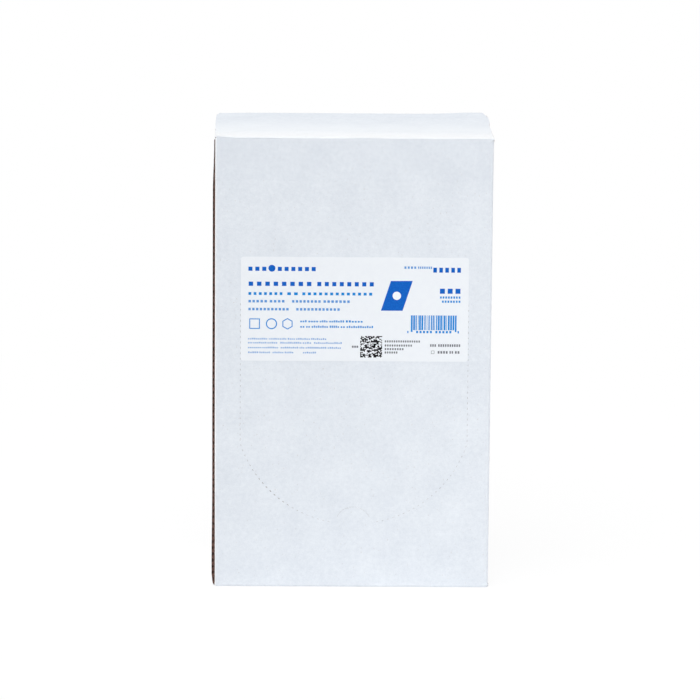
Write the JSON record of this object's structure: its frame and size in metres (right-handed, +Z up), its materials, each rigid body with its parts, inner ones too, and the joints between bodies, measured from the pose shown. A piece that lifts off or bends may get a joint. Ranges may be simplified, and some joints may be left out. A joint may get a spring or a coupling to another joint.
{
  "type": "corrugated dispenser carton",
  "caption": "Closed upright carton of white-faced corrugated board with a perforated tear-out hatch at the front, an adhesive label and clear sealing tape over the lid's front edge.",
  "frame": {"origin": "middle of the base, on the surface the carton stands on", "axes": "+Z up the carton; the front, with the label and the hatch, faces -Y; +X to the right as seen from the front"},
  "size_m": [0.1522, 0.0861, 0.2506],
  "materials": {
    "white_faced_board": "matt white outer liner with a fine mottle, brown fluted core at the cut edges",
    "label_paper": "smooth coated label paper with plain printed shapes",
    "clear_tape": "clear glossy film"
  },
  "bodies": {
    "root": {"carton": "white_faced_board", "label": "label_paper", "top_tape": "clear_tape"}
  },
  "joints": []
}
